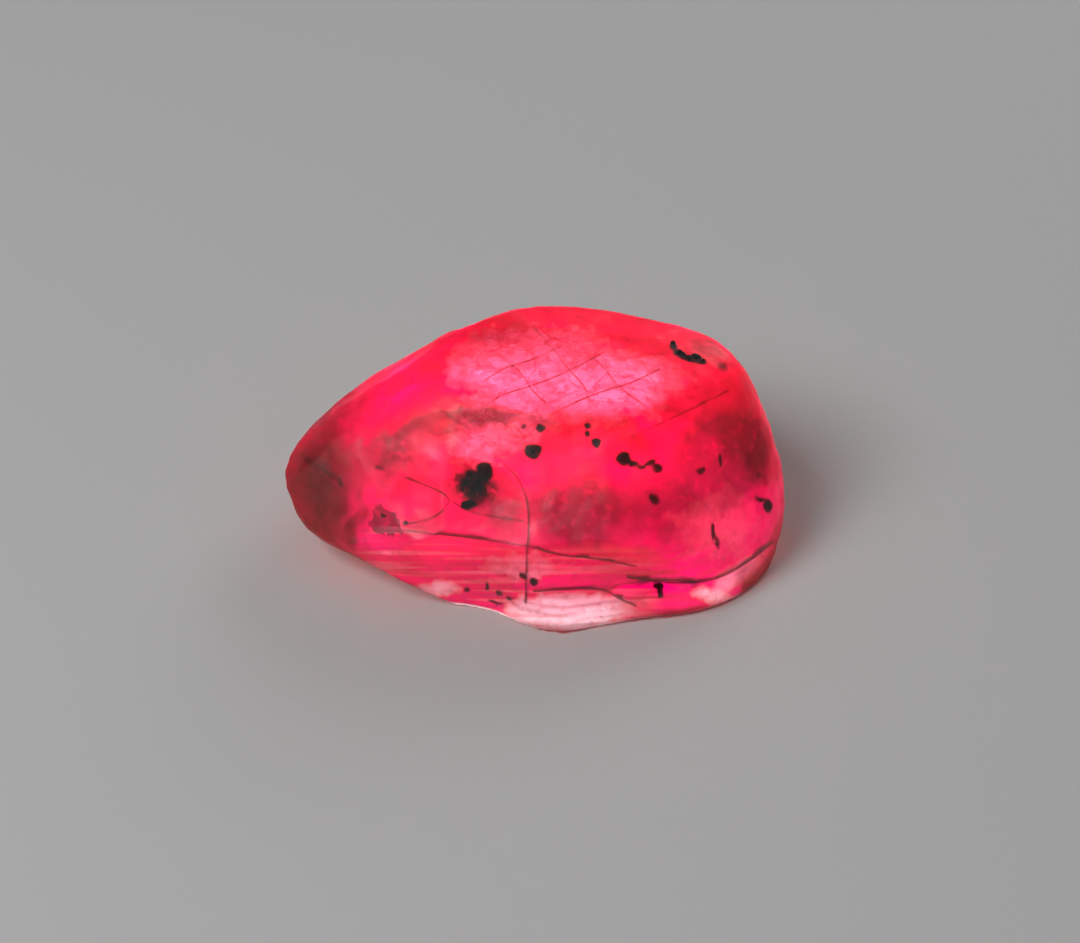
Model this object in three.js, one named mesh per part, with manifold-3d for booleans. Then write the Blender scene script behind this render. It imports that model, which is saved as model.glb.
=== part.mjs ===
// A raw ruby crystal: one worn and broken piece of corundum, lying on its flattest broken face.
// Millimetres, +Z up. The length runs along X, the front looks along -Y, and the origin is
// the middle of the stone's outline, on the surface that it rests on.
import * as THREE from "three";
import { mergeVertices } from "three/addons/utils/BufferGeometryUtils.js";
import Module from "manifold-3d";

// Driving dimensions of the whole stone
const LENGTH = 24.0;
const DEPTH = 16.6;
const HEIGHT = 9.8;

// The middle of the stone as it is drawn below, above the surface that it rests on
const MIDDLE_HEIGHT = 4.2;

// Worn faces, rounded off where they meet. A face looks `turn` degrees round from +X (90 is the
// back, 270 the front) and `tilt` degrees up from level, `reach` out from the middle.
const WORN_FACES = [
  { name: "crown", turn: 287, tilt: 83, reach: 5.5 },
  { name: "front slope", turn: 266, tilt: 40, reach: 4.9 },
  { name: "right slope", turn: 311, tilt: 36, reach: 7.3 },
  { name: "right front slope", turn: 300, tilt: 14, reach: 8.3 },
  { name: "left slope", turn: 196, tilt: 55, reach: 6.5 },
  { name: "left front slope", turn: 236, tilt: 30, reach: 5.8 },
  { name: "left shoulder", turn: 146, tilt: 35, reach: 8.55 },
  { name: "left brow", turn: 128, tilt: 42, reach: 7.5 },
  { name: "back brow", turn: 98, tilt: 50, reach: 7.95 },
  { name: "right brow", turn: 72, tilt: 50, reach: 8.5 },
  { name: "right shoulder", turn: 59, tilt: 47, reach: 9.4 },
  { name: "right corner", turn: 26, tilt: 29, reach: 11.5 },
  { name: "right end", turn: 11, tilt: 14, reach: 11.7 },
  { name: "right heel", turn: 352, tilt: -24, reach: 12.7 },
  { name: "right flank", turn: 330, tilt: 14, reach: 11.1 },
  { name: "left end", turn: 167, tilt: 15, reach: 11.5 },
  { name: "left tip", turn: 196, tilt: -19, reach: 11.7 },
  { name: "left underside", turn: 233, tilt: -44, reach: 7.4 },
  { name: "left heel", turn: 160, tilt: -42, reach: 8.8 },
  { name: "back", turn: 95, tilt: -3, reach: 9.0 },
  { name: "back left", turn: 131, tilt: -12, reach: 9.8 },
  { name: "back right", turn: 50, tilt: -10, reach: 10.2 },
  { name: "sole", turn: 0, tilt: -90, reach: 5.2 },
];
// How sharply worn faces meet: a higher power leaves a tighter edge.
const WORN_EDGE_POWER = 18;
// Facets along each edge of the twenty-sided ball that the worn body is drawn from
const BODY_STEPS = 17;

// Shallow swells of the worn surface
const SWELL_HEIGHT = 0.11;
const SWELL_WAVES = [
  { along: [2.1, 1.2, -1.7], shift: 0.4 },
  { along: [-1.4, 2.6, 1.9], shift: 2.1 },
  { along: [3.3, -2.2, 2.4], shift: 4.0 },
  { along: [-4.1, -3.4, 3.0], shift: 1.3 },
];

// Broken faces: clean breaks with sharp rims, placed as the worn faces are
const BROKEN_FACES = [
  { name: "back break", turn: 78, tilt: -18, reach: 8.7 },
  { name: "back left break", turn: 141, tilt: -20, reach: 9.3 },
];
const RESTING_FACE = { name: "resting face", turn: 0, tilt: -90, reach: MIDDLE_HEIGHT };

// The front wall: a break that stands nearly upright and bulges into a nose. These are points of
// its foot, seen from above, in mm from the middle. Behind the stone the line runs clear of it.
const WALL_FRONT = [
  [-13.4, -0.2],
  [-11.4, -2.2],
  [-9.2, -3.5],
  [-7.6, -4.0],
  [-6.2, -4.8],
  [-4.9, -5.2],
  [-2.6, -5.5],
  [-1.3, -5.95],
  [0.1, -6.85],
  [1.8, -7.35],
  [3.3, -6.95],
  [5.6, -6.4],
  [7.3, -6.15],
  [8.8, -5.6],
  [10.2, -4.6],
  [11.4, -3.1],
  [12.4, -0.8],
  [13.4, 2.4],
];
const WALL_BEHIND = [
  [16, 9],
  [0, 16],
  [-16, 9],
];
// The wall stands as high as WALL_HEIGHT. It leans back this much for each mm of height, and the
// nose, NOSE_HALF_WIDTH to each side of NOSE_X, leans back further.
const WALL_HEIGHT = 14;
const WALL_LEAN = 0.03;
const NOSE_LEAN = 0.22;
const NOSE_X = 1.8;
const NOSE_HALF_WIDTH = 2.2;
const WALL_POINTS = 130;
const WALL_STEPS = 14;

// Flakes: shallow hollows where a shell of stone came away. Each is cut by a rippled ball that
// bites `depth` into the worn surface, `turn` and `tilt` round the stone.
const FLAKES = [
  { name: "flake under the crown", turn: 247, tilt: 13, radius: 13.0, depth: 0.42 },
  { name: "flake on the left slope", turn: 222, tilt: 9, radius: 7.0, depth: 0.26 },
  { name: "flake over the left rim", turn: 212, tilt: -8, radius: 7.0, depth: 0.25 },
  { name: "flake on the left tip", turn: 192, tilt: -8, radius: 9.0, depth: 0.2 },
  { name: "flake behind the crown", turn: 112, tilt: 44, radius: 14.0, depth: 0.2 },
  { name: "flake in the back", turn: 100, tilt: 2, radius: 16.0, depth: 0.3 },
];
// How far the ripples of a flake rise and fall, in mm
const FLAKE_RIPPLE = 0.05;
const FLAKE_STEPS = 24;
// Degrees between the points that a surface's facing is worked out from
const NORMAL_STEP = 2;

// Small flat breaks along the ridges, each `depth` into the worn surface
const RIDGE_BREAKS = [
  { name: "break on the front ridge", turn: 284, tilt: 50, depth: 0.1 },
  { name: "second break on the front ridge", turn: 248, tilt: 48, depth: 0.13 },
  { name: "break on the right ridge", turn: 338, tilt: 33, depth: 0.16 },
  { name: "second break on the right ridge", turn: 318, tilt: 42, depth: 0.12 },
  { name: "break on the right slope", turn: 313, tilt: 15, depth: 0.15 },
  { name: "break on the right flank", turn: 343, tilt: 3, depth: 0.14 },
  { name: "break on the right shoulder", turn: 38, tilt: 40, depth: 0.16 },
  { name: "break on the right corner", turn: 20, tilt: 20, depth: 0.14 },
  { name: "break in the back right", turn: 40, tilt: 8, depth: 0.3 },
  { name: "break on the left ridge", turn: 207, tilt: 36, depth: 0.15 },
  { name: "break on the left slope", turn: 214, tilt: 24, depth: 0.1 },
  { name: "break on the left tip", turn: 178, tilt: 2, depth: 0.2 },
  { name: "break on the left shoulder", turn: 156, tilt: 26, depth: 0.15 },
  { name: "break on the left brow", turn: 146, tilt: 31, depth: 0.1 },
  { name: "break on the back ridge", turn: 88, tilt: 22, depth: 0.2 },
  { name: "break on the back left", turn: 118, tilt: 16, depth: 0.2 },
];

// Bites out of the rims: oval hollows, with the middle of each in mm from the middle of the stone
const BITES = [
  { name: "hollow under the lip", at: [6.3, -6.7, -2.3], radii: [2.4, 1.1, 0.42] },
];
const BITE_STEPS = 9;

// Cutting blocks are far larger than the stone.
const BLOCK_SIZE = 80;

const RUBY_COLOUR = 0xb3123c;

const wasm = await Module();
wasm.setup();

// The way that a face looks, as a unit vector
function facing({ turn, tilt }) {
  const around = THREE.MathUtils.degToRad(turn);
  const up = THREE.MathUtils.degToRad(tilt);
  return new THREE.Vector3(
    Math.cos(around) * Math.cos(up),
    Math.sin(around) * Math.cos(up),
    Math.sin(up),
  );
}

const wornPlanes = WORN_FACES.map((face) => ({ normal: facing(face), reach: face.reach }));
const swellWaves = SWELL_WAVES.map(({ along, shift }) => ({ along: new THREE.Vector3(...along), shift }));

// A smooth uneven pattern over all directions, between -1 and 1
function swell(direction) {
  const waves = swellWaves.map(({ along, shift }) => Math.sin(along.dot(direction) + shift));
  return waves.reduce((total, wave) => total + wave, 0) / waves.length;
}

// How far the worn surface lies from the middle of the stone along a unit vector
function wornRadius(direction) {
  let sum = 0;
  for (const { normal, reach } of wornPlanes) {
    sum += Math.max(0, normal.dot(direction) / reach) ** WORN_EDGE_POWER;
  }
  return sum ** (-1 / WORN_EDGE_POWER) + SWELL_HEIGHT * swell(direction);
}

// A closed three.js geometry as a solid for joining and cutting
function toSolid(geometry) {
  const bare = geometry.clone();
  bare.deleteAttribute("normal");
  bare.deleteAttribute("uv");
  const merged = mergeVertices(bare, 1e-4);
  return new wasm.Manifold(
    new wasm.Mesh({
      numProp: 3,
      vertProperties: merged.attributes.position.array,
      triVerts: new Uint32Array(merged.index.array),
    }),
  );
}

function toGeometry(solid) {
  const mesh = solid.getMesh();
  const geometry = new THREE.BufferGeometry();
  geometry.setAttribute("position", new THREE.BufferAttribute(mesh.vertProperties, mesh.numProp));
  geometry.setIndex(new THREE.BufferAttribute(mesh.triVerts, 1));
  return geometry;
}

// A ball whose points move out to the radius that a function gives for their direction
function shapedBall(steps, radiusAlong) {
  const ball = new THREE.IcosahedronGeometry(1, steps - 1);
  const points = ball.attributes.position;
  const point = new THREE.Vector3();
  for (let i = 0; i < points.count; i++) {
    point.fromBufferAttribute(points, i).normalize();
    point.multiplyScalar(radiusAlong(point));
    points.setXYZ(i, point.x, point.y, point.z);
  }
  return ball;
}

// Everything beyond a flat face that looks along `normal`, `reach` out from the middle
function beyond(normal, reach) {
  const block = new THREE.BoxGeometry(BLOCK_SIZE, BLOCK_SIZE, BLOCK_SIZE);
  block.applyQuaternion(new THREE.Quaternion().setFromUnitVectors(new THREE.Vector3(0, 0, 1), normal));
  const centre = normal.clone().multiplyScalar(reach + BLOCK_SIZE / 2);
  return toSolid(block.translate(centre.x, centre.y, centre.z));
}

function faceCutter(face) {
  return beyond(facing(face), face.reach);
}

// Everything behind the front wall, to keep
function insideWall() {
  const foot = [...WALL_FRONT, ...WALL_BEHIND].map(([x, y]) => new THREE.Vector3(x, y, 0));
  const line = new THREE.CatmullRomCurve3(foot, true, "centripetal");
  const outline = line.getPoints(WALL_POINTS).slice(0, -1);
  const shape = new THREE.Shape(outline.map(({ x, y }) => new THREE.Vector2(x, y)));
  const wall = new THREE.ExtrudeGeometry(shape, { depth: WALL_HEIGHT, steps: WALL_STEPS, bevelEnabled: false });
  const points = wall.attributes.position;
  for (let i = 0; i < points.count; i++) {
    const fromNose = (points.getX(i) - NOSE_X) / NOSE_HALF_WIDTH;
    const lean = WALL_LEAN + NOSE_LEAN * Math.exp(-(fromNose ** 2));
    points.setY(i, points.getY(i) + lean * points.getZ(i));
  }
  return toSolid(wall.translate(0, 0, -MIDDLE_HEIGHT));
}

// A point of the worn surface
function wornPoint(direction) {
  return direction.clone().multiplyScalar(wornRadius(direction));
}

// The way that the worn surface looks at a point of it
function wornNormal({ turn, tilt }) {
  const [here, beside, above] = [
    { turn, tilt },
    { turn: turn + NORMAL_STEP, tilt },
    { turn, tilt: tilt + NORMAL_STEP },
  ].map((place) => wornPoint(facing(place)));
  return beside.sub(here).cross(above.sub(here)).normalize();
}

function ridgeCutter(ridgeBreak) {
  const normal = wornNormal(ridgeBreak);
  return beyond(normal, wornPoint(facing(ridgeBreak)).dot(normal) - ridgeBreak.depth);
}

// The rippled ball that leaves a flake's hollow in the worn surface
function flakeCutter({ turn, tilt, radius, depth }) {
  const away = wornNormal({ turn, tilt }).multiplyScalar(radius - depth);
  const centre = wornPoint(facing({ turn, tilt })).add(away);
  const ball = shapedBall(FLAKE_STEPS, (direction) => {
    const ripple = swell(direction.clone().multiplyScalar(radius).add(centre));
    return radius + FLAKE_RIPPLE * ripple;
  });
  return toSolid(ball.translate(centre.x, centre.y, centre.z));
}

function biteCutter({ at, radii }) {
  const ball = new THREE.IcosahedronGeometry(1, BITE_STEPS - 1);
  return toSolid(ball.scale(...radii).translate(...at));
}

// Brings a geometry to the driving dimensions, with its middle over the origin and its base on z = 0
function fitToSize(geometry) {
  geometry.computeBoundingBox();
  const box = geometry.boundingBox;
  const size = box.getSize(new THREE.Vector3());
  const middle = box.getCenter(new THREE.Vector3());
  geometry.translate(-middle.x, -middle.y, -box.min.z);
  geometry.scale(LENGTH / size.x, DEPTH / size.y, HEIGHT / size.z);
  return geometry;
}

const cuts = [
  ...BROKEN_FACES.map(faceCutter),
  ...RIDGE_BREAKS.map(ridgeCutter),
  ...FLAKES.map(flakeCutter),
  ...BITES.map(biteCutter),
  faceCutter(RESTING_FACE),
];
let stone = toSolid(shapedBall(BODY_STEPS, wornRadius)).intersect(insideWall());
for (const cut of cuts) {
  stone = stone.subtract(cut);
}

const ruby = new THREE.Mesh(
  fitToSize(toGeometry(stone)),
  new THREE.MeshStandardMaterial({ color: RUBY_COLOUR, roughness: 0.3, metalness: 0 }),
);
ruby.name = "ruby_crystal";

const part = new THREE.Group();
part.add(ruby);

export default part;
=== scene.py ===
# A raw ruby crystal, worn and broken, lying on a pale floor. The stone is one piece of corundum;
# its dark inclusions and healed cracks grew inside it.
import math

import bmesh
import bpy
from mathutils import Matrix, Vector
from mathutils.bvhtree import BVHTree


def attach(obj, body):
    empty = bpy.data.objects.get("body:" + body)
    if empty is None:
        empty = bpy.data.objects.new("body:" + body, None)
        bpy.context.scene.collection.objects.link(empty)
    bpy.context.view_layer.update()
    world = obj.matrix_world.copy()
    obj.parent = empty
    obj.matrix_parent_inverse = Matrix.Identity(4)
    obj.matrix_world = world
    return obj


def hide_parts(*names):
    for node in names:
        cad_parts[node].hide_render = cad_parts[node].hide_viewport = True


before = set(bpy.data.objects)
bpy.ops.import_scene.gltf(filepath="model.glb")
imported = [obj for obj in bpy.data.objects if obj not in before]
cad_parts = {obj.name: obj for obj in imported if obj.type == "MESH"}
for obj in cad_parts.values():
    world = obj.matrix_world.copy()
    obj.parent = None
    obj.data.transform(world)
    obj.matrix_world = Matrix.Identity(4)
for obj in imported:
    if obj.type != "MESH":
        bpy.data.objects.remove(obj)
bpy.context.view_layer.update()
scene = bpy.context.scene

# Viewpoint
# The stone is seen from its stepped front, from well above, through a long lens.
MM = 0.001
PHOTO_WIDTH = 1080
PHOTO_HEIGHT = 943
SENSOR_WIDTH = 36.0
LENS_PX = 2700
VIEW_TILT = math.radians(39)
VIEW_DISTANCE = 130 * MM
VIEW_MIDDLE = Vector((0.22, -0.05, 2.99)) * MM

view_right = Vector((1, 0, 0))
view_up = Vector((0, math.sin(VIEW_TILT), math.cos(VIEW_TILT)))
view_back = Vector((0, -math.cos(VIEW_TILT), math.sin(VIEW_TILT)))

camera = bpy.data.objects.new("camera", bpy.data.cameras.new("camera"))
camera.data.sensor_width = SENSOR_WIDTH
camera.data.lens = LENS_PX / PHOTO_WIDTH * SENSOR_WIDTH
camera.data.clip_start = 1 * MM
camera.data.clip_end = 10
camera.location = VIEW_MIDDLE + view_back * VIEW_DISTANCE
camera.rotation_euler = (math.pi / 2 - VIEW_TILT, 0, 0)
scene.collection.objects.link(camera)
scene.camera = camera
scene.view_settings.view_transform = "Standard"

# The stone
# One crystal of corundum, tumbled and broken: worn faces, a stepped front with growth lines,
# and a flat break to rest on. It starts from the solid, and is then weathered.
VOXEL = 0.12 * MM
EDGE_WEAR_STEPS = 3
EDGE_WEAR = 0.5
WEATHERING = {
    "Swell": 0.07 * MM,
    "Swell Size": 2.6 * MM,
    "Grain": 0.012 * MM,
    "Grain Size": 0.7 * MM,
    "Growth Line": 0.05 * MM,
    "Growth Line Spacing": 0.34 * MM,
    "Wall Top": 4.4 * MM,
    "Wall Front": -4.5 * MM,
    "Flat Below": 0.08 * MM,
    "Full Above": 0.6 * MM,
}
WALL_FADE = 1 * MM
GROWTH_LAYERS = (0.1, 0.1, 1.0)
WELD = 0.001 * MM


def node(tree, kind, inputs=None, **settings):
    """A node of that kind, with its inputs linked or set, by name or by number."""
    made = tree.nodes.new(kind)
    for name, value in settings.items():
        setattr(made, name, value)
    for key, value in (inputs or {}).items():
        if isinstance(value, bpy.types.NodeSocket):
            tree.links.new(value, made.inputs[key])
        else:
            made.inputs[key].default_value = value
    return made


def math_node(tree, operation, a, b=0.0):
    """One sum of two numbers."""
    return node(tree, "ShaderNodeMath", {0: a, 1: b}, operation=operation).outputs[0]


def vector_node(tree, operation, a, b=(0, 0, 0)):
    """One sum of two vectors."""
    return node(tree, "ShaderNodeVectorMath", {0: a, 1: b}, operation=operation).outputs[0]


def scaled_node(tree, vector, amount):
    """A vector made longer or shorter by an amount."""
    return node(tree, "ShaderNodeVectorMath", {0: vector, "Scale": amount}, operation="SCALE").outputs[0]


def noise_node(tree, place, scale, detail=2.0):
    """A soft random pattern, with so many waves to a unit. Gives its value and its colour."""
    return node(tree, "ShaderNodeTexNoise", {"Vector": place, "Scale": scale, "Detail": detail}).outputs


def ramp(tree, value, low, high, start=0.0, end=1.0):
    """A value that goes smoothly from start to end as another goes from low to high."""
    inputs = {0: value, 1: low, 2: high, 3: start, 4: end}
    return node(tree, "ShaderNodeMapRange", inputs, interpolation_type="SMOOTHSTEP").outputs[0]


def geometry_tree(name, inputs):
    """A Geometry Nodes tree with those named inputs. Gives the tree and its input sockets."""
    tree = bpy.data.node_groups.new(name, "GeometryNodeTree")
    tree.interface.new_socket("Geometry", in_out="INPUT", socket_type="NodeSocketGeometry")
    for label in inputs:
        tree.interface.new_socket(label, in_out="INPUT", socket_type="NodeSocketFloat")
    tree.interface.new_socket("Geometry", in_out="OUTPUT", socket_type="NodeSocketGeometry")
    return tree, node(tree, "NodeGroupInput").outputs


def finish_tree(tree, shape, material):
    """Ends a tree: whole, smooth and in its material."""
    whole = node(tree, "GeometryNodeRealizeInstances", {0: shape}).outputs[0]
    smooth = node(tree, "GeometryNodeSetShadeSmooth", {0: whole}).outputs[0]
    dressed = node(tree, "GeometryNodeSetMaterial", {"Geometry": smooth, "Material": material})
    node(tree, "NodeGroupOutput", {0: dressed.outputs[0]})


def grow(thing, tree, values):
    """Runs a tree on an object with those inputs, and leaves the plain mesh that it makes."""
    modifier = thing.modifiers.new(tree.name, "NODES")
    modifier.node_group = tree
    for item in tree.interface.items_tree:
        if item.in_out == "INPUT" and item.name in values:
            modifier[item.identifier] = values[item.name]
    bpy.context.view_layer.update()
    evaluated = thing.evaluated_get(bpy.context.evaluated_depsgraph_get())
    mesh = bpy.data.meshes.new_from_object(evaluated)
    thing.modifiers.clear()
    thing.data = mesh


def weathering_tree(material):
    """Moves the points of a surface in and out: swells, grain, and growth lines on the front wall."""
    tree, given = geometry_tree("weathering", WEATHERING)
    place = node(tree, "GeometryNodeInputPosition").outputs[0]
    normal = node(tree, "GeometryNodeInputNormal").outputs[0]
    axes = node(tree, "ShaderNodeSeparateXYZ", {0: place}).outputs

    def relief(where, size, detail, height):
        scale = math_node(tree, "DIVIDE", 1.0, size)
        level = ramp(tree, noise_node(tree, where, scale, detail)[0], 0.2, 0.8, -1.0, 1.0)
        return math_node(tree, "MULTIPLY", level, height)

    swell = relief(place, given["Swell Size"], 2.0, given["Swell"])
    grain = relief(place, given["Grain Size"], 4.0, given["Grain"])
    layers = vector_node(tree, "MULTIPLY", place, GROWTH_LAYERS)
    lines = relief(layers, given["Growth Line Spacing"], 2.0, given["Growth Line"])
    wall_top = given["Wall Top"]
    wall_front = given["Wall Front"]
    below_top = ramp(tree, axes[2], wall_top, math_node(tree, "SUBTRACT", wall_top, WALL_FADE))
    in_front = ramp(tree, axes[1], wall_front, math_node(tree, "SUBTRACT", wall_front, WALL_FADE))
    lines = math_node(tree, "MULTIPLY", lines, math_node(tree, "MULTIPLY", below_top, in_front))
    height = math_node(tree, "ADD", math_node(tree, "ADD", swell, grain), lines)
    above_base = ramp(tree, axes[2], given["Flat Below"], given["Full Above"])
    height = math_node(tree, "MULTIPLY", height, above_base)
    shift = scaled_node(tree, normal, height)
    moved = node(tree, "GeometryNodeSetPosition", {"Geometry": given["Geometry"], "Offset": shift})
    finish_tree(tree, moved.outputs[0], material)
    return tree


ruby = bpy.data.materials.new("ruby")
ruby.use_nodes = True

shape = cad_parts["ruby_crystal"].data.copy()
joined = bmesh.new()
joined.from_mesh(shape)
bmesh.ops.remove_doubles(joined, verts=joined.verts, dist=WELD)
joined.to_mesh(shape)
joined.free()
shape.materials.clear()
stone = bpy.data.objects.new("ruby_stone", shape)
scene.collection.objects.link(stone)
remesh = stone.modifiers.new("remesh", "REMESH")
remesh.mode = "VOXEL"
remesh.voxel_size = VOXEL
wear = stone.modifiers.new("edge wear", "SMOOTH")
wear.factor = EDGE_WEAR
wear.iterations = EDGE_WEAR_STEPS
grow(stone, weathering_tree(ruby), WEATHERING)

skin = BVHTree.FromPolygons(
    [v.co for v in stone.data.vertices],
    [p.vertices[:] for p in stone.data.polygons],
)


def on_stone(px, py):
    """The point of the stone that a pixel of the photograph shows, and the way its surface looks."""
    across = (px - PHOTO_WIDTH / 2) / LENS_PX
    upward = (PHOTO_HEIGHT / 2 - py) / LENS_PX
    ray = (view_right * across + view_up * upward - view_back).normalized()
    point, normal, _, _ = skin.ray_cast(camera.location, ray)
    return point, normal


# Ruby: see-through red corundum, with frosted faces. The skin is tinted in zones: a pale net of healed
# cracks on the crown, paler still as painted glow; painted shade at both ends, across the front and in the
# hollow under the lip; and a growth-lined nose lit pale by painted glow.
CLEARNESS = (0.97, 0.20, 0.45)
ABSORPTION = 300.0
IOR = 1.765
BODY_COLOURS = ((0.50, 0.0, 0.03), (0.95, 0.0, 0.09))
BODY_STOPS = (0.35, 0.65)
# Near the floor the stone is thin, and a deeper tint keeps it as red there as elsewhere.
THIN_COLOUR = (0.75, 0.0, 0.02)
THIN_BELOW = (3.2 * MM, 0.8 * MM)
# A pale pink: the real pale of the growth lines and of the rough sole, and painted glow on the crown and
# the nose.
PALE = (1.0, 0.93, 0.96)
CRACK_COLOUR = (0.42, 0.0, 0.03)
# Painted shade: a near-black red for the facets that turn from the light and for the hollow under the lip.
PAINTED_SHADE = (0.03, 0.0, 0.003)
BLACK = (0.001, 0.0, 0.0)
MM_PER_PX = VIEW_DISTANCE / LENS_PX / MM
PATCH_DEPTH = 2.5
# Each patch of painted shade, painted glow or black over an inclusion: its middle and half-size in
# photograph pixels, its turn in degrees, how soft and how ragged its edge is, its colour and its strength.
PAINTED_SHADE_GLOW_AND_SPOTS = [
    # Painted shade on the facets that turn from the light, one pink patch of painted glow, and black spots
    # over inclusions.
    ((318, 480), (84, 74), 0, 1.0, 0.9, PAINTED_SHADE, 0.80),
    ((395, 450), (100, 62), 20, 1.0, 0.8, PAINTED_SHADE, 0.97),
    ((428, 508), (36, 20), -12, 0.6, 0.5, (0.60, 0.0, 0.05), 0.7),
    ((722, 462), (106, 54), 25, 0.3, 0.4, PAINTED_SHADE, 0.78),
    ((755, 425), (36, 80), 0, 0.9, 0.8, PAINTED_SHADE, 0.6),
    ((705, 348), (44, 22), -25, 1.0, 1.0, PAINTED_SHADE, 0.8),
    ((660, 505), (80, 62), 0, 1.0, 1.3, PAINTED_SHADE, 0.85),
    ((718, 525), (60, 38), 0, 1.0, 1.3, (0.85, 0.08, 0.16), 0.4),
    ((578, 512), (64, 48), 0, 0.6, 0.7, PAINTED_SHADE, 0.85),
    ((505, 500), (25, 34), 0, 0.5, 0.4, PAINTED_SHADE, 0.75),
    ((466, 482), (36, 28), 0, 0.8, 0.5, BLACK, 0.98),
    ((478, 492), (28, 28), 0, 0.6, 0.4, BLACK, 0.98),
    ((388, 521), (17, 16), 0, 0.15, 0.8, PAINTED_SHADE, 0.95),
    # Painted shadow in the hollow under the lip.
    ((668, 582), (48, 8), -2, 0.5, 0.2, PAINTED_SHADE, 0.95),
    ((655, 594), (50, 14), 8, 0.8, 0.3, (0.30, 0.0, 0.008), 0.9),
    # Painted glow on the front rim and the nose.
    ((525, 566), (46, 14), 4, 0.9, 1.0, PALE, 0.4),
    ((565, 613), (76, 22), 2, 0.5, 0.5, PALE, 0.7),
    ((437, 590), (26, 11), 5, 1.0, 0.4, PALE, 0.6),
    ((713, 596), (24, 11), -15, 1.0, 0.4, PALE, 0.4),
    ((738, 574), (44, 14), 35, 1.0, 0.4, (1.0, 0.3, 0.5), 0.4),
]
CROWN_LUMPS = [
    ((512, 362), (70, 58), 20),
    ((550, 348), (60, 30), 5),
    ((608, 383), (84, 50), 14),
    ((505, 415), (66, 40), 35),
]
CROWN_TURN = math.radians(20)
CROWN_PLATES = (0.55, 0.9, 0.3)
CROWN_SOFTNESS = 0.55
CROWN_RAGGEDNESS = 1.0
CROWN_WAVES = 0.7
PLATE_TONES = (0.35, 0.95)
CRACK_WIDTH = 0.05
# The crown's two nets of cracks, coarse and fine: the size of their plates and their strength.
CRACK_NETS = ((1.0, 0.75), (2.7, 0.45))
GROWTH_LINES = (0.13, 2.8, 0.13)
GROWTH_LINES_END = (6 * MM, 2 * MM)
SOLE = (0.2 * MM, 0.05 * MM)
SOLE_ROUGHNESS = 0.9
FROST_ROUGHNESS = (0.4, 0.56)
SCRATCH_STRENGTH = 0.25
SCRATCH_DEPTH = 0.02 * MM
# Each pattern of the skin: its waves to a mm, and its detail.
MOTTLE = (0.45, 1.0)
RAGGED_EDGE = (1.4, 2.0)
GRAIN = (2.5, 1.5)
FROST = (0.8, 1.0)
SCRATCHES = (5.0, 1.5)


def on_view_plane(point):
    """A point in mm across, up and towards the viewer, as the ruby's patterns are laid out."""
    return Vector((point.dot(view_right), point.dot(view_up), point.dot(view_back))) / MM


def oval_patch_group():
    """A soft-edged oval patch, as a mask from 0 to 1."""
    group = bpy.data.node_groups.new("oval_patch", "ShaderNodeTree")
    for label, kind in (
        ("Place", "Vector"),
        ("Middle", "Vector"),
        ("Reach", "Vector"),
        ("Turn", "Float"),
        ("Softness", "Float"),
    ):
        group.interface.new_socket(label, in_out="INPUT", socket_type="NodeSocket" + kind)
    group.interface.new_socket("Mask", in_out="OUTPUT", socket_type="NodeSocketFloat")
    given = node(group, "NodeGroupInput").outputs
    away = vector_node(group, "SUBTRACT", given["Place"], given["Middle"])
    turned = node(
        group,
        "ShaderNodeVectorRotate",
        {"Vector": away, "Angle": math_node(group, "MULTIPLY", given["Turn"], -1.0)},
        rotation_type="Z_AXIS",
    ).outputs[0]
    scaled = vector_node(group, "DIVIDE", turned, given["Reach"])
    length = node(group, "ShaderNodeVectorMath", {0: scaled}, operation="LENGTH").outputs["Value"]
    mask = ramp(group, length, 1.0, math_node(group, "SUBTRACT", 1.0, given["Softness"]))
    node(group, "NodeGroupOutput", {0: mask})
    return group


def tint(tree, below, colour, mask):
    """A colour laid over another where the mask is 1."""
    mix = node(tree, "ShaderNodeMix", {"Factor": mask, 6: below, 7: (*colour, 1)}, data_type="RGBA")
    return mix.outputs[2]


tree = ruby.node_tree
tree.nodes.clear()
place = node(tree, "ShaderNodeTexCoord").outputs["Object"]
plane = node(
    tree,
    "ShaderNodeMapping",
    {"Vector": place, "Rotation": (VIEW_TILT - math.pi / 2, 0, 0), "Scale": (1 / MM, 1 / MM, 1 / MM)},
).outputs[0]
mottle = noise_node(tree, plane, *MOTTLE)[0]
ragged = vector_node(tree, "SUBTRACT", noise_node(tree, plane, *RAGGED_EDGE)[1], (0.5, 0.5, 0.5))
body = node(tree, "ShaderNodeValToRGB", {0: mottle})
for element, position, colour in zip(body.color_ramp.elements, BODY_STOPS, BODY_COLOURS):
    element.position = position
    element.color = (*colour, 1)
colour = body.outputs[0]
axes = node(tree, "ShaderNodeSeparateXYZ", {0: place}).outputs
height = axes[2]
colour = tint(tree, colour, THIN_COLOUR, ramp(tree, height, *THIN_BELOW))
oval_patch = oval_patch_group()


def patch(middle, reach, turn, softness, raggedness):
    """The mask of one patch of the ruby's skin, placed by a pixel of the photograph."""
    point, _ = on_stone(*middle)
    torn = scaled_node(tree, ragged, raggedness * 2)
    made = tree.nodes.new("ShaderNodeGroup")
    made.node_tree = oval_patch
    tree.links.new(vector_node(tree, "ADD", plane, torn), made.inputs["Place"])
    made.inputs["Middle"].default_value = on_view_plane(point)
    made.inputs["Reach"].default_value = (reach[0] * MM_PER_PX, reach[1] * MM_PER_PX, PATCH_DEPTH)
    made.inputs["Turn"].default_value = math.radians(turn)
    made.inputs["Softness"].default_value = softness
    return made.outputs[0]


# Lays the patches on the skin: painted shade, painted glow and black spots over the inclusions.
for middle, reach, turn, softness, raggedness, shade, strength in PAINTED_SHADE_GLOW_AND_SPOTS:
    mask = patch(middle, reach, turn, softness, raggedness)
    colour = tint(tree, colour, shade, math_node(tree, "MULTIPLY", mask, strength))

# The crown's pale net of healed cracks: partly the net's own pale, partly painted glow where light comes
# up through the crown.
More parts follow.
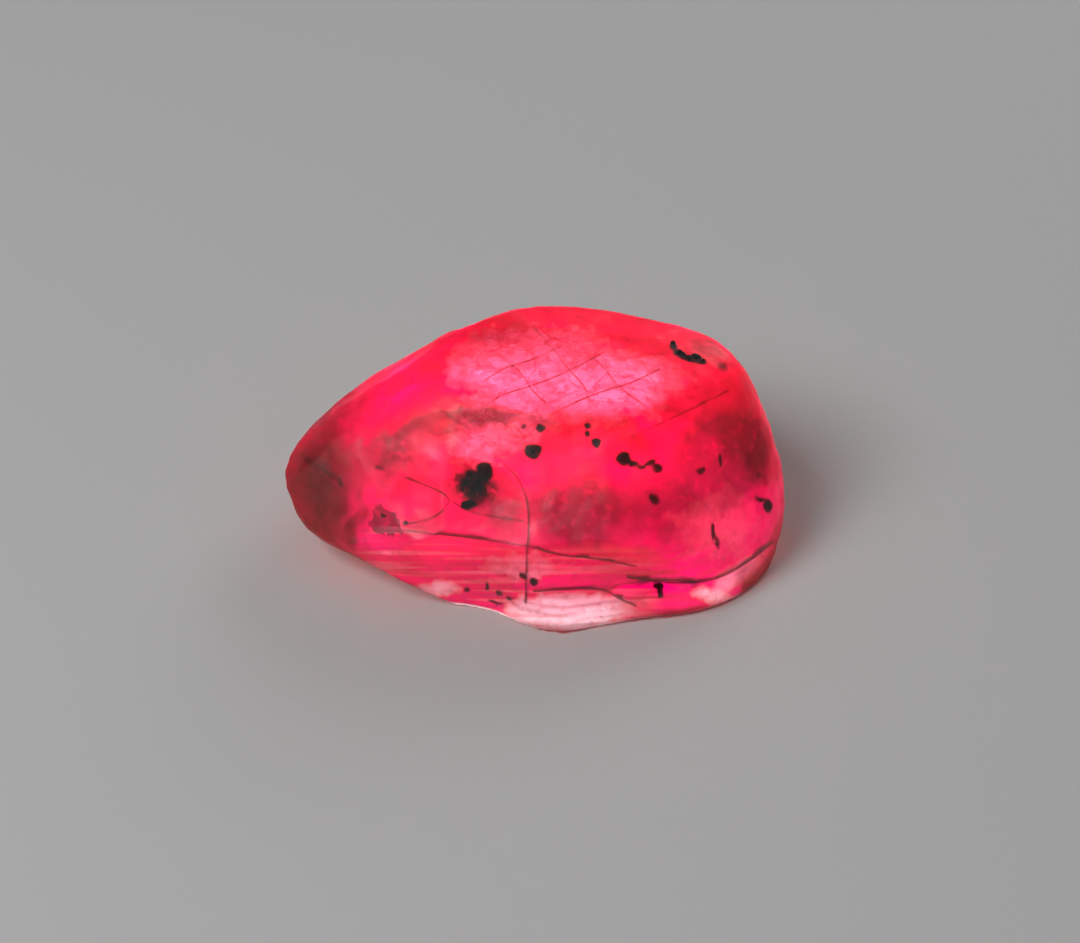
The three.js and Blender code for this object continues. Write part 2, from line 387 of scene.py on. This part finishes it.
crown = 0.0
for middle, reach, turn in CROWN_LUMPS:
    lump = patch(middle, reach, turn, CROWN_SOFTNESS, CROWN_RAGGEDNESS)
    crown = math_node(tree, "MAXIMUM", crown, lump)
wavy = vector_node(tree, "ADD", plane, scaled_node(tree, ragged, CROWN_WAVES))
net = node(
    tree,
    "ShaderNodeMapping",
    {"Vector": wavy, "Rotation": (0, 0, -CROWN_TURN), "Scale": CROWN_PLATES},
).outputs[0]
plates = node(tree, "ShaderNodeTexVoronoi", {"Vector": net}, voronoi_dimensions="2D").outputs["Color"]
plates = node(tree, "ShaderNodeSeparateXYZ", {0: plates}).outputs[0]
tone = ramp(tree, plates, 0.0, 0.8, *PLATE_TONES)
colour = tint(tree, colour, PALE, math_node(tree, "MULTIPLY", crown, tone))
for scale, strength in CRACK_NETS:
    gaps = node(
        tree,
        "ShaderNodeTexVoronoi",
        {"Vector": net, "Scale": scale},
        feature="DISTANCE_TO_EDGE",
        voronoi_dimensions="2D",
    )
    line = ramp(tree, gaps.outputs["Distance"], CRACK_WIDTH, 0.0, 0.0, strength)
    colour = tint(tree, colour, CRACK_COLOUR, math_node(tree, "MULTIPLY", crown, line))

on_wall = math_node(
    tree,
    "MULTIPLY",
    ramp(tree, height, WEATHERING["Wall Top"], WEATHERING["Wall Top"] - WALL_FADE),
    ramp(tree, axes[1], WEATHERING["Wall Front"], WEATHERING["Wall Front"] - WALL_FADE),
)
on_wall = math_node(tree, "MULTIPLY", on_wall, ramp(tree, axes[0], *GROWTH_LINES_END))
layers = vector_node(tree, "MULTIPLY", plane, GROWTH_LINES)
layers = noise_node(tree, layers, 1.0, 1.0)[0]
pale_lines = math_node(tree, "MULTIPLY", on_wall, ramp(tree, layers, 0.5, 0.7, 0.0, 0.15))
dark_lines = math_node(tree, "MULTIPLY", on_wall, ramp(tree, layers, 0.45, 0.3, 0.0, 0.6))
colour = tint(tree, colour, PALE, pale_lines)
colour = tint(tree, colour, CRACK_COLOUR, dark_lines)
grain = noise_node(tree, plane, *GRAIN)[0]
colour = tint(tree, colour, CRACK_COLOUR, ramp(tree, grain, 0.5, 0.75, 0.0, 0.5))
sole = ramp(tree, height, *SOLE)
colour = tint(tree, colour, PALE, sole)
roughness = ramp(tree, noise_node(tree, plane, *FROST)[0], 0.35, 0.7, *FROST_ROUGHNESS)
roughness = math_node(tree, "MAXIMUM", roughness, math_node(tree, "MULTIPLY", sole, SOLE_ROUGHNESS))
scratches = node(
    tree,
    "ShaderNodeBump",
    {
        "Strength": SCRATCH_STRENGTH,
        "Distance": SCRATCH_DEPTH,
        "Height": noise_node(tree, plane, *SCRATCHES)[0],
    },
)
surface = node(
    tree,
    "ShaderNodeBsdfPrincipled",
    {
        "Base Color": colour,
        "Roughness": roughness,
        "Normal": scratches.outputs[0],
        "IOR": IOR,
        "Transmission Weight": 1.0,
    },
)
inside = node(tree, "ShaderNodeVolumeAbsorption", {"Color": (*CLEARNESS, 1), "Density": ABSORPTION})
node(tree, "ShaderNodeOutputMaterial", {"Surface": surface.outputs[0], "Volume": inside.outputs[0]})

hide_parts("ruby_crystal")
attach(stone, "root")

# Healed cracks
# Fractures that grew shut inside the crystal: thin dark seams that start just under its skin and
# run inwards along its ledges, round the broken flake and through the crown's pale net.
SEAM_TOP = 0.03 * MM
SEAM_STEP = 4
RING = 4
SEAM_COLOUR = (0.16, 0.0, 0.015)
SEAM_ROUGHNESS = 0.6
SEAM_ALPHA = 0.6
# Each seam: its half-thickness and depth in mm, and the photograph pixels that it runs through. It
# is a strip, a RING of corners at each step of SEAM_STEP pixels.
SEAMS = [
    (0.030, 0.5, [(627, 578), (663, 583), (713, 583), (753, 560), (780, 537)]),
    (0.020, 0.3, [(403, 530), (457, 537), (527, 545), (553, 555), (603, 560), (637, 567)]),
    (0.022, 0.4, [(503, 463), (520, 480), (526, 497), (529, 520), (526, 560), (525, 604)]),
    (0.016, 0.3, [(403, 477), (443, 493), (452, 502), (430, 520), (403, 524)]),
    (0.016, 0.3, [(452, 502), (470, 513), (523, 521)]),
    (0.022, 0.4, [(297, 453), (318, 466), (342, 485)]),
    (0.014, 0.3, [(430, 403), (470, 430)]),
    (0.014, 0.3, [(630, 437), (680, 415), (730, 390)]),
    (0.018, 0.3, [(533, 592), (603, 588), (620, 600), (637, 607)]),
    (0.009, 0.2, [(470, 425), (480, 408), (503, 393), (532, 385), (570, 370), (606, 350)]),
    (0.009, 0.2, [(548, 416), (575, 401), (603, 390), (630, 383), (660, 368)]),
    (0.007, 0.2, [(484, 380), (505, 366), (530, 360), (566, 343)]),
    (0.007, 0.2, [(492, 345), (506, 360), (523, 372), (530, 388), (546, 402)]),
    (0.008, 0.2, [(535, 328), (552, 345), (567, 367), (584, 384), (592, 402)]),
    (0.006, 0.2, [(585, 352), (604, 366), (618, 386), (644, 404)]),
    (0.006, 0.2, [(474, 398), (494, 410), (512, 434)]),
    (0.006, 0.2, [(458, 418), (484, 424), (520, 412), (545, 420)]),
]


def rounded(points):
    """A line through points with its corners cut twice, so that it bends softly."""
    for _ in range(2):
        cut = [points[0]]
        for one, other in zip(points, points[1:]):
            cut += [one.lerp(other, 0.25), one.lerp(other, 0.75)]
        points = cut + [points[-1]]
    return points


def stepped(points):
    """Points at even steps along a line."""
    made = []
    for one, other in zip(points, points[1:]):
        count = max(1, round((other - one).length / SEAM_STEP))
        made += [one.lerp(other, step / count) for step in range(count)]
    return made + [points[-1]]


def seam_ring(pixel, ahead, half, depth):
    """The four corners of a seam where it passes a pixel, on its way to the next one."""
    point, normal = on_stone(*pixel)
    further, _ = on_stone(*ahead)
    if point is None or further is None:
        return None
    side = normal.cross(further - point).normalized() * half
    top = point - normal * SEAM_TOP
    bottom = point - normal * (SEAM_TOP + depth)
    return [top + side, top - side, bottom - side, bottom + side]


seam_points = []
seam_faces = []
for half, depth, line in SEAMS:
    pixels = stepped(rounded([Vector(pixel) for pixel in line]))
    ahead = pixels[1:] + [pixels[-1] * 2 - pixels[-2]]
    rings = [seam_ring(pixel, following, half * MM, depth * MM) for pixel, following in zip(pixels, ahead)]
    rings = [ring for ring in rings if ring]
    first = len(seam_points)
    seam_points += [corner for ring in rings for corner in ring]
    for step in range(len(rings) - 1):
        near = first + RING * step
        far = near + RING
        for corner in range(RING):
            beside = (corner + 1) % RING
            seam_faces.append((near + corner, near + beside, far + beside, far + corner))
    last = first + RING * (len(rings) - 1)
    seam_faces.append((first + 3, first + 2, first + 1, first))
    seam_faces.append((last, last + 1, last + 2, last + 3))
seam_mesh = bpy.data.meshes.new("healed_cracks")
seam_mesh.from_pydata(seam_points, [], seam_faces)
seam_shape = bmesh.new()
seam_shape.from_mesh(seam_mesh)
bmesh.ops.recalc_face_normals(seam_shape, faces=seam_shape.faces)
seam_shape.to_mesh(seam_mesh)
seam_shape.free()
seam_finish = bpy.data.materials.new("healed crack")
seam_finish.use_nodes = True
seam_surface = seam_finish.node_tree.nodes["Principled BSDF"]
seam_surface.inputs["Base Color"].default_value = (*SEAM_COLOUR, 1)
seam_surface.inputs["Roughness"].default_value = SEAM_ROUGHNESS
seam_surface.inputs["Alpha"].default_value = SEAM_ALPHA
seam_mesh.materials.append(seam_finish)
seams = bpy.data.objects.new("healed_cracks", seam_mesh)
scene.collection.objects.link(seams)
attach(seams, "root")

# Dark inclusions
# Grains and threads of black mineral, caught in the ruby as it grew, just under its skin.
# Each has its middle and half-size in photograph pixels, its turn in degrees and its depth in mm.
INCLUSIONS = [
    ((533, 451), (8.5, 7.0), 10, 0.35),
    ((540, 428), (4.0, 4.0), 60, 0.3),
    ((523, 427), (2.5, 1.8), 20, 0.25),
    ((588, 426), (3.4, 2.6), 0, 0.3),
    ((588, 434), (3.0, 3.0), 0, 0.3),
    ((596, 443), (5.0, 5.0), 40, 0.3),
    ((625, 460), (6.5, 7.0), 80, 0.5),
    ((633, 464), (6.0, 3.5), -20, 0.6),
    ((642, 467), (5.0, 2.8), 10, 0.6),
    ((652, 463), (5.0, 2.6), 30, 0.6),
    ((662, 468), (5.0, 4.0), -50, 0.6),
    ((658, 498), (3.6, 5.0), 30, 0.6),
    ((723, 460), (2.0, 7.0), 8, 0.4),
    ((705, 470), (5.0, 2.6), 15, 0.6),
    ((760, 475), (2.2, 1.8), 0, 0.3),
    ((770, 505), (5.5, 6.5), 30, 0.3),
    ((762, 500), (5.0, 2.2), -20, 0.4),
    ((715, 531), (2.4, 8.0), 8, 0.35),
    ((719, 544), (2.2, 6.0), 25, 0.35),
    ((674, 345), (4.0, 7.0), 10, 0.2),
    ((680, 353), (7.5, 5.0), -35, 0.2),
    ((689, 357), (6.5, 4.5), -10, 0.2),
    ((696, 356), (5.5, 6.0), 25, 0.2),
    ((701, 360), (5.0, 3.0), -20, 0.2),
    ((728, 363), (5.0, 3.5), 10, 0.7),
    ((659, 585), (5.5, 4.0), 0, 0.25),
    ((660, 588), (3.0, 6.5), 0, 0.25),
    ((533, 584), (4.0, 4.0), 0, 0.25),
    ((522, 577), (3.6, 3.0), 0, 0.25),
    ((486, 588), (1.8, 4.5), 5, 0.25),
    ((498, 594), (4.0, 2.8), 0, 0.25),
    ((467, 590), (3.0, 2.6), 0, 0.25),
    ((495, 603), (9.0, 1.5), -15, 0.2),
    ((508, 600), (3.0, 2.4), 0, 0.2),
    ((472, 488), (13.0, 15.0), 0, 1.5),
    ((483, 468), (8.0, 5.0), 15, 0.4),
    ((487, 474), (6.0, 7.0), -20, 0.5),
    ((468, 505), (8.0, 4.5), 15, 0.4),
    ((405, 523), (2.6, 1.8), -10, 0.2),
    ((382, 516), (2.0, 2.0), 0, 0.2),
    ((338, 482), (2.0, 4.5), 35, 0.4),
    ((376, 467), (5.0, 2.0), -10, 0.6),
]
INCLUSION_SHAPE = {"Roughness": 0.9, "Lump Size": 0.36 * MM}
DARK_COLOURS = ((0.002, 0.001, 0.001), (0.02, 0.004, 0.006))
DARK_ROUGHNESS = 0.6
DARK_MOTTLE = 4 / MM


def inclusion_tree(material):
    """A rough lump at every point of a mesh, as wide each way as the point's reach says."""
    tree, given = geometry_tree("inclusions", INCLUSION_SHAPE)

    def of_point(name):
        made = node(tree, "GeometryNodeInputNamedAttribute", {"Name": name}, data_type="FLOAT_VECTOR")
        return made.outputs[0]

    ball = node(tree, "GeometryNodeMeshIcoSphere", {"Radius": 1.0, "Subdivisions": 4}).outputs[0]
    rotation = node(tree, "FunctionNodeEulerToRotation", {0: of_point("turn")}).outputs[0]
    lumps = node(
        tree,
        "GeometryNodeInstanceOnPoints",
        {"Points": given["Geometry"], "Instance": ball, "Rotation": rotation, "Scale": of_point("reach")},
    )
    solid = node(tree, "GeometryNodeRealizeInstances", {0: lumps.outputs[0]}).outputs[0]
    place = node(tree, "GeometryNodeInputPosition").outputs[0]
    scale = math_node(tree, "DIVIDE", 1.0, given["Lump Size"])
    pull = vector_node(tree, "SUBTRACT", noise_node(tree, place, scale, 3.0)[1], (0.5, 0.5, 0.5))
    amount = math_node(tree, "MULTIPLY", given["Roughness"], given["Lump Size"])
    pull = scaled_node(tree, pull, amount)
    rough = node(tree, "GeometryNodeSetPosition", {"Geometry": solid, "Offset": pull}).outputs[0]
    finish_tree(tree, rough, material)
    return tree


dark = bpy.data.materials.new("dark mineral")
dark.use_nodes = True
dark_tree = dark.node_tree
dark_tree.nodes.clear()
dark_place = node(dark_tree, "ShaderNodeTexCoord").outputs["Object"]
dark_colour = node(dark_tree, "ShaderNodeValToRGB", {0: noise_node(dark_tree, dark_place, DARK_MOTTLE)[0]})
for element, shade in zip(dark_colour.color_ramp.elements, DARK_COLOURS):
    element.color = (*shade, 1)
dark_surface = node(
    dark_tree,
    "ShaderNodeBsdfPrincipled",
    {"Base Color": dark_colour.outputs[0], "Roughness": DARK_ROUGHNESS},
)
node(dark_tree, "ShaderNodeOutputMaterial", {"Surface": dark_surface.outputs[0]})

spots = []
reaches = []
turns = []
for middle, half_size, turn, depth in INCLUSIONS:
    point, normal = on_stone(*middle)
    spots.append(point - normal * (depth * MM))
    reaches.append([half * MM_PER_PX * MM for half in (*half_size, min(half_size))])
    turns.append((math.pi / 2 - VIEW_TILT, 0, math.radians(turn)))
grains = bpy.data.meshes.new("dark_inclusions")
grains.from_pydata(spots, [], [])
for name, values in (("reach", reaches), ("turn", turns)):
    attribute = grains.attributes.new(name, "FLOAT_VECTOR", "POINT")
    attribute.data.foreach_set("vector", [part for value in values for part in value])
inclusions = bpy.data.objects.new("dark_inclusions", grains)
scene.collection.objects.link(inclusions)
grow(inclusions, inclusion_tree(dark), INCLUSION_SHAPE)
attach(inclusions, "root")

# Floor and light
# A plain pale floor, a large soft light from the upper left, a softer one from behind, and small
# soft lights under the stone that shine up through it.
FLOOR_REACH = 1.0
FLOOR_GAP = 0.08 * MM
FLOOR_COLOUR = (0.93, 0.925, 0.92)
FLOOR_ROUGHNESS = 0.7
FLOOR_CORNERS = ((-1, -1), (1, -1), (1, 1), (-1, 1))
ROOM_COLOUR = (0.9, 0.9, 0.92)
ROOM_STRENGTH = 0.1
LIGHT_BOUNCES = 8
CLEAR_BOUNCES = 7
# Each studio light: its name, its place and size in metres, and its radiance.
STUDIO_LIGHTS = [
    ("key light", (-0.16, -0.10, 0.22), (0.16, 0.16), 3.6),
    ("back light", (0.12, 0.18, 0.14), (0.14, 0.10), 1.8),
]
# Each light under the stone: its name, its place on the floor and size in mm, and its radiance.
UNDER_LIGHTS = [
    ("under light", (1.2, -0.8), (18, 13), 1.6),
    ("crown glow", (1.0, 4.3), (12, 5), 2.8),
    ("left glow", (-4.6, 3.4), (5, 6), 1.8),
    ("nose glow", (1.2, -6.9), (6.5, 2), 0.7),
    ("lip glow", (7.2, -4.9), (4.5, 2.4), 2.0),
]

floor_mesh = bpy.data.meshes.new("floor")
corners = [(x * FLOOR_REACH, y * FLOOR_REACH, -FLOOR_GAP) for x, y in FLOOR_CORNERS]
floor_mesh.from_pydata(corners, [], [(0, 1, 2, 3)])
floor = bpy.data.objects.new("floor", floor_mesh)
floor_finish = bpy.data.materials.new("floor")
floor_finish.use_nodes = True
floor_surface = floor_finish.node_tree.nodes["Principled BSDF"]
floor_surface.inputs["Base Color"].default_value = (*FLOOR_COLOUR, 1)
floor_surface.inputs["Roughness"].default_value = FLOOR_ROUGHNESS
floor_mesh.materials.append(floor_finish)
scene.collection.objects.link(floor)


def soft_light(name, place, size, radiance, aim=VIEW_MIDDLE, outline="RECTANGLE"):
    """An area light of that size, turned to its aim, as bright as a panel of that radiance."""
    lamp = bpy.data.lights.new(name, "AREA")
    lamp.shape = outline
    lamp.size, lamp.size_y = size
    lamp.energy = radiance * math.pi * size[0] * size[1]
    light = bpy.data.objects.new(name, lamp)
    light.location = place
    light.rotation_euler = (aim - Vector(place)).to_track_quat("-Z", "Y").to_euler()
    scene.collection.objects.link(light)


for name, place, size, radiance in STUDIO_LIGHTS:
    soft_light(name, place, size, radiance)
for name, (x, y), size, radiance in UNDER_LIGHTS:
    place = Vector((x * MM, y * MM, -FLOOR_GAP / 2))
    straight_up = place + Vector((0, 0, 1))
    soft_light(name, place, (size[0] * MM, size[1] * MM), radiance, straight_up, "ELLIPSE")

world = bpy.data.worlds.new("studio")
world.use_nodes = True
room = world.node_tree.nodes["Background"]
room.inputs["Color"].default_value = (*ROOM_COLOUR, 1)
room.inputs["Strength"].default_value = ROOM_STRENGTH
scene.world = world
scene.cycles.max_bounces = LIGHT_BOUNCES
scene.cycles.transmission_bounces = CLEAR_BOUNCES
scene.cycles.transparent_max_bounces = LIGHT_BOUNCES
